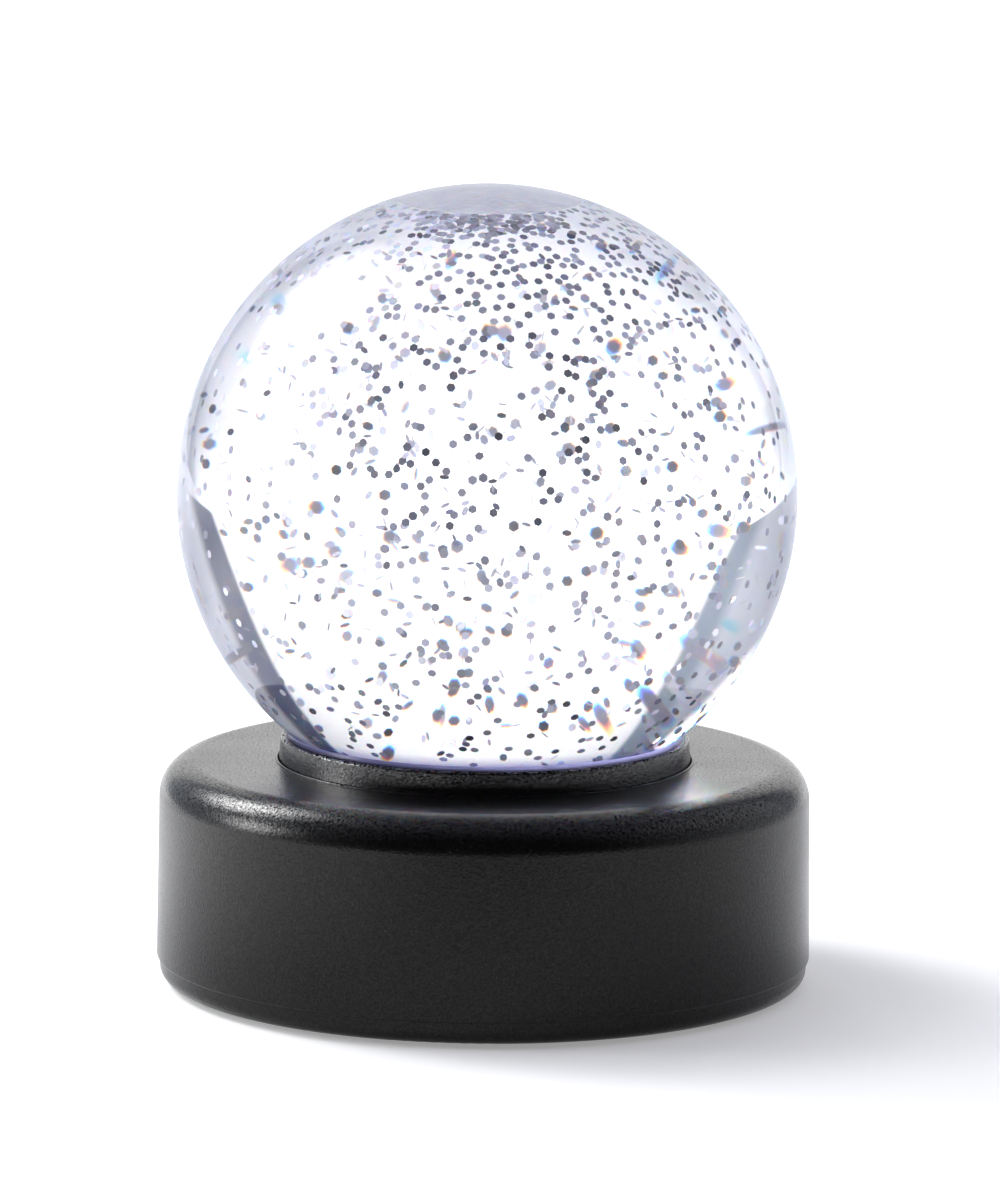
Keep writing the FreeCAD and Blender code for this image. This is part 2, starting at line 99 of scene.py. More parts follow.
# ---- optics of the ball ----
ACRYLIC_INDEX = 1.49
LIQUID_INDEX = 1.34
DISPERSION = 0.0045  # index difference from green to red or blue, standing for all four surfaces
MIDDLE_TINT = (0.985, 0.985, 1.0)
# painted reflection: the ball darkens to lavender towards its outline, standing in for the grey room seen
# off and through its edge
EDGE_PAINTED_REFLECTION_TINT = (0.62, 0.63, 0.69)
PAINTED_EDGE_COMES_IN = (0.38, 0.75)  # from 0 where the surface faces the eye to 1 at the outline
# painted reflection: a violet band on the ball just above the collar's lip, standing in for light bent
# through the ball's lower wall
GLUE_LINE_PAINTED_REFLECTION = (0.34, 0.34, 0.52)
GLUE_LINE_PAINTED_FULL = 0.6 * MM  # height above the collar's lip up to which the glue line's tint is full
GLUE_LINE_PAINTED_GONE = 2.6 * MM
# painted shade: the ball's top takes part of the edge's tint, standing in for the shaded floor behind the
# plinth seen through it
CROWN_SHADE_START = 0.45  # share of the radius, above the centre, where the top starts to take edge tint
CROWN_PAINTED_SHADE_SHARE = 0.35  # of the edge's tint, at the bubble
OUTSIDE_ROUGHNESS = 0.045  # ripple too fine to see, which softens what lies deep in the ball
LAMP_TINT = (0.7, 0.7, 0.715, 1)
HAZE = 1.6  # scattering coefficient of the liquid, per metre
HAZE_COLOUR = (0.92, 0.95, 1.0, 1)
HAZE_FORWARD = 0.6  # 0 scatters evenly all round, 1 straight on


# ---- shader helpers ----
NOISE_MIDDLE = (0.3, 0.7)  # where most of a noise texture's values lie


def add(tree, kind, inputs=None, **settings):
    """A new node. Inputs go by socket name or number, and each is a value or another node's output."""
    node = tree.nodes.new(kind)
    for name, value in settings.items():
        setattr(node, name, value)
    for key, value in (inputs or {}).items():
        if isinstance(value, bpy.types.NodeSocket):
            tree.links.new(value, node.inputs[key])
        else:
            node.inputs[key].default_value = value
    return node


def math_node(tree, operation, *values):
    """Output of a sum, product or other operation on values or other nodes' outputs."""
    return add(tree, "ShaderNodeMath", dict(enumerate(values)), operation=operation).outputs[0]


def noise(tree, size, detail=2.0, roughness=0.5):
    """Noise in object space, with features of about this size in metres."""
    place = add(tree, "ShaderNodeTexCoord").outputs["Object"]
    sockets = {"Vector": place, "Scale": 1 / size, "Detail": detail, "Roughness": roughness}
    return add(tree, "ShaderNodeTexNoise", sockets).outputs["Fac"]


def ranged(tree, value, from_low, from_high, to_low, to_high):
    """The value moved from one range to another, and held at its ends."""
    sockets = {0: value, 1: from_low, 2: from_high, 3: to_low, 4: to_high}
    return add(tree, "ShaderNodeMapRange", sockets).outputs[0]


def spread(tree, noise_value, low, high):
    """Noise stretched so that it swings between low and high."""
    return ranged(tree, noise_value, *NOISE_MIDDLE, low, high)


def object_height(tree):
    """Height above the table, in metres."""
    place = add(tree, "ShaderNodeTexCoord").outputs["Object"]
    return add(tree, "ShaderNodeSeparateXYZ", {0: place}).outputs[2]


def bump(tree, height, strength, depth):
    """A normal bent by a height between 0 and 1, which stands for this depth in metres."""
    sockets = {"Height": height, "Strength": strength, "Distance": depth}
    return add(tree, "ShaderNodeBump", sockets).outputs[0]


def mixed_colour(tree, factor, first, second):
    mix = add(tree, "ShaderNodeMix", {0: factor, 6: first, 7: second}, data_type="RGBA")
    return mix.outputs[2]


def new_material(name):
    """An empty node material and its tree."""
    material = bpy.data.materials.new(name)
    material.use_nodes = True
    material.node_tree.nodes.clear()
    return material, material.node_tree


def finish_material(material, shader):
    add(material.node_tree, "ShaderNodeOutputMaterial", {"Surface": shader})
    return material


def finish_principled(material, colour, roughness, normal, **more):
    """Gives the material a Principled surface. Further inputs go by name, with _ for a space."""
    sockets = {"Base Color": colour, "Roughness": roughness, "Normal": normal}
    for name, value in more.items():
        sockets[name.replace("_", " ")] = value
    shader = add(material.node_tree, "ShaderNodeBsdfPrincipled", sockets)
    return finish_material(material, shader.outputs[0])


# ---- materials of the plinth ----
BLACKS = ((0.0016, 0.0016, 0.0017, 1), (0.003, 0.003, 0.003, 1))
DUST_COLOUR = (0.22, 0.215, 0.2, 1)
DUST_SIZE = 0.35 * MM
DUST_SPECKS = (0.74, 0.8)  # noise values between which dust comes in
DUST_SHARE = 0.22
FLOW_SIZE = 14 * MM
FLOW_SWING = 0.03  # change of roughness along the flow marks
UPWARD = (0.1, 0.5)  # vertical part of the normal, from a side wall's to a top's
SIDE_GLINT = 0.25  # share of the grain's glint that is left on side walls
TOP_POLISH = 1.45  # how many times a side wall's shine a top has
GRAIN_STRENGTH = 0.9


def moulded_black(name, grain_size, grain_depth, glint, shine, roughness):
    """Black plastic from a spark-textured mould: grain that glints most on tops, flow marks, dust."""
    material, tree = new_material(name)
    grain = noise(tree, grain_size, detail=1.0, roughness=0.6)
    flow = noise(tree, FLOW_SIZE)
    dust = noise(tree, DUST_SIZE, detail=1.0)
    normal = add(tree, "ShaderNodeNewGeometry").outputs["Normal"]
    upward = add(tree, "ShaderNodeSeparateXYZ", {0: normal}).outputs[2]
    swing = math_node(tree, "MULTIPLY", ranged(tree, upward, *UPWARD, SIDE_GLINT, 1.0), glint)
    polish = math_node(tree, "MULTIPLY", ranged(tree, upward, *UPWARD, 1.0, TOP_POLISH), shine)
    glinting = math_node(tree, "MULTIPLY_ADD", spread(tree, grain, -1.0, 1.0), swing, 1.0)
    dust_here = ranged(tree, dust, *DUST_SPECKS, 0.0, DUST_SHARE)
    return finish_principled(
        material,
        colour=mixed_colour(tree, dust_here, mixed_colour(tree, flow, *BLACKS), DUST_COLOUR),
        roughness=spread(tree, flow, roughness - FLOW_SWING, roughness + FLOW_SWING),
        normal=bump(tree, grain, GRAIN_STRENGTH, grain_depth),
        Specular_IOR_Level=math_node(tree, "MULTIPLY", glinting, polish),
    )


def plinth_black():
    """Satin black with a faint grain."""
    return moulded_black(
        "plinth_black",
        grain_size=0.4 * MM,
        grain_depth=0.045 * MM,
        glint=0.95,
        shine=0.215,
        roughness=0.23,
    )


def collar_black():
    """Glossier black, whose grain glints more."""
    return moulded_black(
        "collar_black",
        grain_size=0.4 * MM,
        grain_depth=0.07 * MM,
        glint=2.4,
        shine=0.65,
        roughness=0.22,
    )


# ---- clear materials ----
CLEAR = (1, 1, 1, 1)
NO_BENDING = 1.0  # index at the liquid's underside, which only the bung is behind
WALL_SLACK = 0.1 * MM  # the liquid's surface is its side where it is this near the ball's wall
FILM_SIZE = 2.5 * MM
FILM_PATCHES = (0.35, 0.65)  # noise values between which the film thins out
FILM_STRENGTH = 0.4
FILM_DEPTH = 0.15 * MM
FILM_ROUGHNESS = 0.16
FILM_COLOURS = ((0.84, 0.84, 0.92, 1), CLEAR)
FILM_LAMP_TINT = (0.8, 0.8, 0.85, 1)
STREAK_SIZE = 2.5 * MM
SEAT_TONES = (0.004, 0.03)
SEAT_ROUGHNESS = 0.5
# painted reflection: the glued wall is violet near the collar's lip, standing in for light bent through
# the ball's lower wall
LIP_PAINTED_VIOLETS = ((0.5, 0.5, 0.74, 1), (0.7, 0.7, 0.88, 1))
LIP_PAINTED_VIOLET_FULL = 2.4 * MM  # depth below the collar's lip down to which the glued wall is violet
LIP_PAINTED_VIOLET_GONE = 3.6 * MM
GLUE_CLOUD_SIZE = 2 * MM
# painted light: the glue's violet stands in for the ball's lavender light
GLUE_PAINTED_VIOLETS = ((0.5, 0.5, 0.75, 1), (0.8, 0.8, 1.0, 1))
GLUE_ROUGHNESS = 0.05
GLUE_CLEARNESS = 0.3
GLUE_LAMP_TINT = FILM_LAMP_TINT


def lets_lamps_through(tree, shader, tint):
    """Rays from lamps go straight through, so that they light what is behind the clear surface."""
    clear = add(tree, "ShaderNodeBsdfTransparent", {"Color": tint})
    is_shadow = add(tree, "ShaderNodeLightPath").outputs["Is Shadow Ray"]
    return add(tree, "ShaderNodeMixShader", {0: is_shadow, 1: shader, 2: clear.outputs[0]}).outputs[0]


def ball_tint_with_painted_light(tree, channels):
    """Tint of the ball's surface: clear ahead; painted reflection makes it lavender at the edge and
    violet at the glue, and painted shade greys the top.
    """
    facing = add(tree, "ShaderNodeLayerWeight", {"Blend": 0.5}).outputs["Facing"]
    height = object_height(tree)
    # painted shade: the glass colour greys towards the top
    painted_shade_low = GLOBE_CENTRE.z + CROWN_SHADE_START * GLOBE_RADIUS
    painted_crown_shade = ranged(tree, height, painted_shade_low, LIQUID_TOP_Z, 0.0, CROWN_PAINTED_SHADE_SHARE)
    # painted reflection: lavender glass colour towards the outline
    edge = math_node(tree, "ADD", ranged(tree, facing, *PAINTED_EDGE_COMES_IN, 0.0, 1.0), painted_crown_shade)
    tints = []
    for tint in (MIDDLE_TINT, EDGE_PAINTED_REFLECTION_TINT, GLUE_LINE_PAINTED_REFLECTION):
        tints.append((*(part * channel for part, channel in zip(tint, channels)), 1))
    colour = mixed_colour(tree, edge, tints[0], tints[1])
    # painted reflection: violet glass colour just above the collar's lip
    full, gone = COLLAR_TOP_Z + GLUE_LINE_PAINTED_FULL, COLLAR_TOP_Z + GLUE_LINE_PAINTED_GONE
    at_painted_glue_line = ranged(tree, height, full, gone, 1.0, 0.0)
    return mixed_colour(tree, at_painted_glue_line, colour, tints[2])


def acrylic_outside():
    """The ball's outer surface, which splits the colours of the light that enters a little. Its colour
    carries painted reflection at the outline and above the collar's lip, and painted shade at the top.
    """
    material, tree = new_material("acrylic_outside")

    def glass(channels, index):
        sockets = {"Color": ball_tint_with_painted_light(tree, channels), "Roughness": OUTSIDE_ROUGHNESS, "IOR": index}
        return add(tree, "ShaderNodeBsdfGlass", sockets).outputs[0]

    red = glass((1, 0, 0), ACRYLIC_INDEX - DISPERSION)
    green = glass((0, 1, 0), ACRYLIC_INDEX)
    blue = glass((0, 0, 1), ACRYLIC_INDEX + DISPERSION)
    red_green = add(tree, "ShaderNodeAddShader", {0: red, 1: green}).outputs[0]
    split = add(tree, "ShaderNodeAddShader", {0: red_green, 1: blue}).outputs[0]
    whole = glass((1, 1, 1), ACRYLIC_INDEX)
    leaving = add(tree, "ShaderNodeNewGeometry").outputs["Backfacing"]
    surface = add(tree, "ShaderNodeMixShader", {0: leaving, 1: split, 2: whole}).outputs[0]
    return finish_material(material, lets_lamps_through(tree, surface, LAMP_TINT))


def acrylic_inside():
    """The inner wall above the liquid, dulled by a film of moisture."""
    material, tree = new_material("acrylic_inside")
    film = noise(tree, FILM_SIZE, detail=4.0, roughness=0.6)
    sockets = {
        "Color": mixed_colour(tree, ranged(tree, film, *FILM_PATCHES, 0.0, 1.0), *FILM_COLOURS),
        "Roughness": FILM_ROUGHNESS,
        "IOR": ACRYLIC_INDEX,
        "Normal": bump(tree, film, FILM_STRENGTH, FILM_DEPTH),
    }
    glass = add(tree, "ShaderNodeBsdfGlass", sockets)
    return finish_material(material, lets_lamps_through(tree, glass.outputs[0], FILM_LAMP_TINT))


def liquid_clear():
    """The liquid: bends light against the acrylic at its sides and against air under the bubble."""
    material, tree = new_material("liquid_clear")
    place = add(tree, "ShaderNodeTexCoord").outputs["Object"]
    sockets = {0: place, 1: GLOBE_CENTRE}
    from_centre = add(tree, "ShaderNodeVectorMath", sockets, operation="DISTANCE").outputs["Value"]
    near_wall = GLOBE_RADIUS - GLOBE_WALL - WALL_SLACK
    at_side = math_node(tree, "GREATER_THAN", from_centre, near_wall)
    at_top = math_node(tree, "GREATER_THAN", object_height(tree), GLOBE_CENTRE.z)
    off_side = ranged(tree, at_top, 0.0, 1.0, NO_BENDING, LIQUID_INDEX)
    against_wall = LIQUID_INDEX / ACRYLIC_INDEX
    index = add(tree, "ShaderNodeMix", {0: at_side, 2: off_side, 3: against_wall}).outputs[0]
    glass = add(tree, "ShaderNodeBsdfGlass", {"Roughness": 0.0, "IOR": index})
    sockets = {"Color": HAZE_COLOUR, "Density": HAZE, "Anisotropy": HAZE_FORWARD}
    haze = add(tree, "ShaderNodeVolumeScatter", sockets).outputs[0]
    surface = lets_lamps_through(tree, glass.outputs[0], CLEAR)
    add(tree, "ShaderNodeOutputMaterial", {"Surface": surface, "Volume": haze})
    return material


def wet_wall():
    """Wall with liquid behind it. The liquid's own surface does the bending, so this shows nothing."""
    material, tree = new_material("wet_wall")
    return finish_material(material, add(tree, "ShaderNodeBsdfTransparent").outputs[0])


def glued_wall():
    """The ball's underside where glue joins it to the black seat: black below, and at the lip a painted
    violet reflection, standing in for light bent through the ball's lower wall.
    """
    material, tree = new_material("glued_wall")
    streaks = noise(tree, STREAK_SIZE, detail=3.0)
    black = spread(tree, streaks, *SEAT_TONES)
    violet = mixed_colour(tree, streaks, *LIP_PAINTED_VIOLETS)
    # painted reflection: violet near the lip
    low, high = COLLAR_TOP_Z - LIP_PAINTED_VIOLET_GONE, COLLAR_TOP_Z - LIP_PAINTED_VIOLET_FULL
    at_painted_lip = ranged(tree, object_height(tree), low, high, 0.0, 1.0)
    colour = mixed_colour(tree, at_painted_lip, black, violet)
    sockets = {"Base Color": colour, "Roughness": SEAT_ROUGHNESS}
    return finish_material(material, add(tree, "ShaderNodeBsdfPrincipled", sockets).outputs[0])


def glue_milky():
    """Glue that has set slightly milky and lets light through; its violet is painted light in its own
    colour, standing in for the ball's lavender light.
    """
    material, tree = new_material("glue_milky")
    colour = mixed_colour(tree, noise(tree, GLUE_CLOUD_SIZE, detail=3.0), *GLUE_PAINTED_VIOLETS)
    milky = add(tree, "ShaderNodeBsdfTranslucent", {"Color": colour}).outputs[0]
    sockets = {"Roughness": GLUE_ROUGHNESS, "IOR": ACRYLIC_INDEX}
    clear = add(tree, "ShaderNodeBsdfGlass", sockets).outputs[0]
    glue = add(tree, "ShaderNodeMixShader", {0: GLUE_CLEARNESS, 1: milky, 2: clear}).outputs[0]
    return finish_material(material, lets_lamps_through(tree, glue, GLUE_LAMP_TINT))


# ---- glitter's material ----
FLAKE_TONES = (0.26, 0.8)
FLAKE_BLUE = 1.18  # blue, as a multiple of the tone
FLAKE_METALLIC = (0.95, 0.35)
FLAKE_ROUGHNESS = (0.2, 0.5)
CRINKLE_SIZE = 0.5 * MM
CRINKLE_STRENGTH = 0.3
CRINKLE_DEPTH = 0.03 * MM


def glitter_silver():
    """Metallised film: each flake has its own brightness and polish."""
    material, tree = new_material("glitter_silver")
    one_each = add(tree, "ShaderNodeNewGeometry").outputs["Random Per Island"]
    tone = ranged(tree, one_each, 0.0, 1.0, *FLAKE_TONES)
    blue = math_node(tree, "MULTIPLY", tone, FLAKE_BLUE)
    polish = add(tree, "ShaderNodeTexWhiteNoise", {1: one_each}, noise_dimensions="1D").outputs[0]
    crinkle = noise(tree, CRINKLE_SIZE, detail=1.0)
    return finish_principled(
        material,
        colour=add(tree, "ShaderNodeCombineColor", {0: tone, 1: tone, 2: blue}).outputs[0],
        roughness=ranged(tree, polish, 0.0, 1.0, *FLAKE_ROUGHNESS),
        normal=bump(tree, crinkle, CRINKLE_STRENGTH, CRINKLE_DEPTH),
        Metallic=ranged(tree, polish, 0.0, 1.0, *FLAKE_METALLIC),
    )


# ---- hidden and underside materials ----
BLOOM_SIZE = 3 * MM
BLOOM_TONES = (0.7, 1.6)  # multiples of the rubber's own tone
RUBBER_ROUGHNESS = (0.6, 0.8)
PORE_SIZE = 0.25 * MM
PORE_STRENGTH = 0.4
PORE_DEPTH = 0.03 * MM
ZINC_COLOURS = ((0.5, 0.5, 0.52, 1), (0.68, 0.68, 0.66, 1))
ZINC_ROUGHNESS = (0.24, 0.4)
ZINC_CLOUD_SIZE = 1.2 * MM
SCRATCH_SIZE = 0.12 * MM
SCRATCH_STRENGTH = 0.2
SCRATCH_DEPTH = 0.01 * MM


def moulded_rubber(name, tone):
    """Soft matt rubber with mould bloom."""
    material, tree = new_material(name)
    bloom = noise(tree, BLOOM_SIZE, detail=4.0)
    pores = noise(tree, PORE_SIZE)
    greys = [(tone * share,) * 3 + (1,) for share in BLOOM_TONES]
    return finish_principled(
        material,
        colour=mixed_colour(tree, bloom, *greys),
        roughness=spread(tree, bloom, *RUBBER_ROUGHNESS),
        normal=bump(tree, pores, PORE_STRENGTH, PORE_DEPTH),
    )


def zinc_steel():
    """Zinc-plated screw steel."""
    material, tree = new_material("zinc_steel")
    cloud = noise(tree, ZINC_CLOUD_SIZE, detail=4.0)
    scratches = noise(tree, SCRATCH_SIZE)
    return finish_principled(
        material,
        colour=mixed_colour(tree, cloud, *ZINC_COLOURS),
        roughness=spread(tree, cloud, *ZINC_ROUGHNESS),
        normal=bump(tree, scratches, SCRATCH_STRENGTH, SCRATCH_DEPTH),
        Metallic=1.0,
    )


# ---- turned meshes ----
ARC_STEP_DEGREES = 2.0
SMALL_ARC_RADIUS = 3 * MM
SMALL_ARC_STEPS = 12
ROUND_SEGMENTS = 288
SHARP_CORNER_DEGREES = 32.0
SAME_POINT = 1e-7


def arc(centre_radius, centre_z, radius, start_degrees, end_degrees):
    """Points of an arc in the section, both ends included."""
    count = max(2, math.ceil(abs(end_degrees - start_degrees) / ARC_STEP_DEGREES))
    if radius < SMALL_ARC_RADIUS:
        count = min(count, SMALL_ARC_STEPS)
    points = []
    for i in range(count + 1):
        turn = math.radians(start_degrees + (end_degrees - start_degrees) * i / count)
        points.append((centre_radius + radius * math.cos(turn), centre_z + radius * math.sin(turn)))
    return points


def ball_arc(radius, start_degrees, end_degrees):
    """Arc about the ball's centre, by elevation."""
    return arc(0.0, GLOBE_CENTRE.z, radius, start_degrees, end_degrees)


def elevation_at(ball_radius, distance, below=True):
    """Elevation in degrees of the ball-centred sphere's point at a distance from the Z axis."""
    degrees = math.degrees(math.acos(distance / ball_radius))
    return -degrees if below else degrees


def joined_zones(zones, closed):
    """The section's points in a row, and the material number of the strip that follows each."""
    points, strips = [], []
    for material_number, section in zones:
        for point in section:
            if points and math.dist(points[-1], point) < SAME_POINT:
                continue
            if points:
                strips.append(material_number)
            points.append(point)
    if closed:
        strips.append(zones[-1][0])
    return points, strips


def turned_rings(points):
    """A ring of vertices for each point, or a single vertex for a point on the axis."""
    rings, vertices = [], []
    for radius, z in points:
        count = 1 if radius < SAME_POINT else ROUND_SEGMENTS
        rings.append(range(len(vertices), len(vertices) + count))
        for i in range(count):
            turn = 2 * math.pi * i / count
            vertices.append((radius * math.cos(turn), radius * math.sin(turn), z))
    return rings, vertices


def strip_faces(ring, next_ring):
    """Faces between two rings: triangles where one of them is a single vertex."""
    faces = []
    for i in range(ROUND_SEGMENTS):
        j = (i + 1) % ROUND_SEGMENTS
        here = [ring[i % len(ring)], ring[j % len(ring)]]
        there = [next_ring[j % len(next_ring)], next_ring[i % len(next_ring)]]
        corners = list(dict.fromkeys(here + there))
        if len(corners) > 2:
            faces.append(corners)
    return faces


def turned(name, zones, materials, closed=False):
    """Piece turned about Z. A zone is (material number, points), and takes in the strip before it."""
    points, strips = joined_zones(zones, closed)
    rings, vertices = turned_rings(points)
    next_rings = rings[1:] + rings[:1] if closed else rings[1:]
    faces, face_materials = [], []
    for ring, next_ring, material_number in zip(rings, next_rings, strips):
        strip = strip_faces(ring, next_ring)
        faces += strip
        face_materials += [material_number] * len(strip)
    mesh = bpy.data.meshes.new(name)
    mesh.from_pydata(vertices, [], faces)
    mesh.polygons.foreach_set("material_index", face_materials)
    mesh.polygons.foreach_set("use_smooth", [True] * len(faces))
    for material in materials:
        mesh.materials.append(material)
    face_outwards(mesh)
    mark_sharp_rings(mesh, points, rings, closed)
    return placed(name, mesh)


def face_outwards(mesh):
    """Points every face's normal out of the solid, which refraction depends on."""
    work = bmesh.new()
    work.from_mesh(mesh)
    bmesh.ops.recalc_face_normals(work, faces=work.faces)
    work.to_mesh(mesh)
    work.free()


def corner_turn(before, here, after):
    """Angle in degrees by which the section turns at a point."""
    first = Vector((here[0] - before[0], here[1] - before[1]))
    second = Vector((after[0] - here[0], after[1] - here[1]))
    return math.degrees(first.angle(second))


def mark_sharp_rings(mesh, points, rings, closed):
    """Keeps the corners of the section crisp under smooth shading."""
    count = len(points)
    sharp = set()
    for number in range(count):
        if not closed and number in (0, count - 1):
            continue
        before, after = points[number - 1], points[(number + 1) % count]
        if corner_turn(before, points[number], after) > SHARP_CORNER_DEGREES:
            sharp.add(number)
    ring_of = {vertex: number for number, ring in enumerate(rings) for vertex in ring}
    for edge in mesh.edges:
        first, second = (ring_of[vertex] for vertex in edge.vertices)
        if first == second and first in sharp:
            edge.use_edge_sharp = True


def placed(name, data):
    """An object of this mesh, lamp or camera, in the scene."""
    piece = bpy.data.objects.new(name, data)
    bpy.context.scene.collection.objects.link(piece)
    return piece


# ---- pieces: ball and liquid ----
LIQUID_CLEARANCE = 0.02 * MM
MENISCUS_DIP = 0.45 * MM
MENISCUS_FALL = 1.3 * MM
MENISCUS_REACH = 4.0 * MM
MENISCUS_STEPS = 16


def ball():
    """The clear ball. Its inner wall is wet up to the bubble and its seat is glued."""
    inner = GLOBE_RADIUS - GLOBE_WALL
    neck_inner = NECK_RADIUS - NECK_WALL
    seat_top = math.degrees(math.asin((COLLAR_TOP_Z - GLOBE_CENTRE.z) / GLOBE_RADIUS))
    neck_top = elevation_at(GLOBE_RADIUS, NECK_RADIUS)
    inner_neck_top = elevation_at(inner, neck_inner)
    bubble_rim = elevation_at(inner, BUBBLE_RADIUS, below=False)
    outside, glued, wet, dry = range(4)
    zones = [
        (outside, ball_arc(GLOBE_RADIUS, 90, seat_top)),
        (glued, ball_arc(GLOBE_RADIUS, seat_top, neck_top)),
        (glued, [(NECK_RADIUS, NECK_RIM_Z), (neck_inner, NECK_RIM_Z)]),
        (wet, [(neck_inner, STOPPER_TOP_Z)]),
        (wet, ball_arc(inner, inner_neck_top, bubble_rim)),
        (dry, ball_arc(inner, bubble_rim, 90)),
    ]
    materials = [acrylic_outside(), glued_wall(), wet_wall(), acrylic_inside()]
    piece = turned("ball_clear", zones, materials)
    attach(piece, "stand")
    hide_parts("globe")


def liquid():
    """The liquid: its sides bend light against acrylic, its top against the bubble's air."""
    radius = GLOBE_RADIUS - GLOBE_WALL - LIQUID_CLEARANCE
    neck = NECK_RADIUS - NECK_WALL - LIQUID_CLEARANCE
    floor_z = STOPPER_TOP_Z + LIQUID_CLEARANCE
    bubble_rim = elevation_at(radius, BUBBLE_RADIUS, below=False)
    rim_z = GLOBE_CENTRE.z + radius * math.sin(math.radians(bubble_rim))
    meniscus = []
    for i in range(MENISCUS_STEPS + 1):
        inward = MENISCUS_REACH * i / MENISCUS_STEPS
        drop = MENISCUS_DIP * (1 - math.exp(-inward / MENISCUS_FALL))
        meniscus.append((BUBBLE_RADIUS - inward, rim_z - drop))
    section = [
        (0.0, floor_z),
        (neck, floor_z),
        *ball_arc(radius, elevation_at(radius, neck), bubble_rim),
        *meniscus,
        (0.0, rim_z - MENISCUS_DIP),
    ]
    piece = turned("liquid_clear", [(0, section)], [liquid_clear()])
    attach(piece, "liquid")
    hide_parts("liquid_fill")


# ---- pieces: glitter ----
FREE_FLAKES = 1150
CLINGING_FLAKES = 600
RISEN_FLAKES = 800
RAFT_FLAKES = 110
GLITTER_SEED = 7
FLAKE_ACROSS_FLATS = 1.2 * MM
FLAKE_THICKNESS = 0.05 * MM
FLAKE_GAP = 1.25 * MM
FREE_MARGIN = 1.6 * FLAKE_ACROSS_FLATS  # between the free flakes and the ball's wall
FREE_DEPTH = 2 * FLAKE_ACROSS_FLATS  # of the free flakes below the bubble
FRONT_BIAS = (-0.6, 1.4)  # a flake's Y stays below a limit drawn between these shares of the reach
WALL_GAP = 0.3 * MM
LOWEST_ABOVE_STOPPER = 3 * MM
CLINGING_SPREAD = 1.3  # radians about the front, where more flakes cling to the wall
CLINGING_TILT = 0.06  # how far flakes on the wall lean from lying flat on it
RISEN_DEPTH = 7.5 * MM  # flakes on the wall thin out by this depth below the bubble
RAFT_DEPTH = 0.9 * MM
RAFT_GAP = 0.6 * MM
RAFT_TURN = -1.8  # radians: where flakes crowd together at the bubble's rim
RAFT_SPREAD = 0.45
STEEP = 0.9  # vertical part of a direction past which X stands in for Z as its helper


def far_enough(place, centres, gap):
    """Whether a place is further than the gap from all centres."""
    return not len(centres) or np.min(np.linalg.norm(centres - place, axis=1)) > gap


def free_flakes(random):
    """Places through the liquid, denser towards the front, and directions that the flakes face."""
    reach = GLOBE_RADIUS - GLOBE_WALL - FREE_MARGIN
    ceiling = LIQUID_TOP_Z - GLOBE_CENTRE.z - FREE_DEPTH
    centres = np.empty((0, 3))
    while len(centres) < FREE_FLAKES:
        place = random.uniform(-reach, reach, 3)
        wanted = place[1] < reach * random.uniform(*FRONT_BIAS)
        inside = np.linalg.norm(place) < reach and place[2] < ceiling
        if wanted and inside and far_enough(place, centres, FLAKE_GAP):
            centres = np.vstack([centres, place])
    return centres, random.normal(size=centres.shape)


def wall_flakes(random, taken):
    """Places just inside the ball's wall, where flakes cling flat to it, and gather below the bubble."""
    reach = GLOBE_RADIUS - GLOBE_WALL - WALL_GAP
    ceiling = LIQUID_TOP_Z - GLOBE_CENTRE.z - WALL_GAP
    lowest = STOPPER_TOP_Z - GLOBE_CENTRE.z + LOWEST_ABOVE_STOPPER
    centres = np.empty((0, 3))
    while len(centres) < CLINGING_FLAKES + RISEN_FLAKES + RAFT_FLAKES:
        gap = FLAKE_GAP
        if len(centres) < CLINGING_FLAKES:
            height = random.uniform(lowest, ceiling)
            turn = random.normal(-math.pi / 2, CLINGING_SPREAD)
        elif len(centres) < CLINGING_FLAKES + RISEN_FLAKES:
            height = ceiling - random.exponential(RISEN_DEPTH)
            turn = random.uniform(0, 2 * math.pi)
        else:
            height = ceiling - random.exponential(RAFT_DEPTH)
            turn = random.normal(RAFT_TURN, RAFT_SPREAD)
            gap = RAFT_GAP
        across = math.sqrt(max(reach**2 - height**2, 0))
        place = np.array([across * math.cos(turn), across * math.sin(turn), height])
        if height > lowest and far_enough(place, np.vstack([taken, centres]), gap):
            centres = np.vstack([centres, place])
    return centres, centres + random.normal(scale=CLINGING_TILT * reach, size=centres.shape)


def facing(directions, spins):
    """Rotation matrices that turn a plate to face each direction, spun about it."""
    ahead = directions / np.linalg.norm(directions, axis=1)[:, None]
    helper = np.where(np.abs(ahead[:, 2:]) < STEEP, [[0, 0, 1]], [[1, 0, 0]])
    first = np.cross(helper, ahead)
    first /= np.linalg.norm(first, axis=1)[:, None]
    second = np.cross(ahead, first)
    cosine, sine = np.cos(spins)[:, None], np.sin(spins)[:, None]
    return np.stack([first * cosine + second * sine, second * cosine - first * sine, ahead], axis=2)


def hexagonal_plate():
    """Corners of one flat flake, lower face first, and its faces."""
    angles = np.radians(np.arange(6) * 60)
    corner = FLAKE_ACROSS_FLATS / math.sqrt(3)
    hexagon = np.column_stack([corner * np.cos(angles), corner * np.sin(angles)])
    layers = [np.column_stack([hexagon, np.full(6, side * FLAKE_THICKNESS / 2)]) for side in (-1, 1)]
    faces = [[5, 4, 3, 2, 1, 0], [6, 7, 8, 9, 10, 11]]
    faces += [[i, (i + 1) % 6, (i + 1) % 6 + 6, i + 6] for i in range(6)]
    return np.vstack(layers), faces


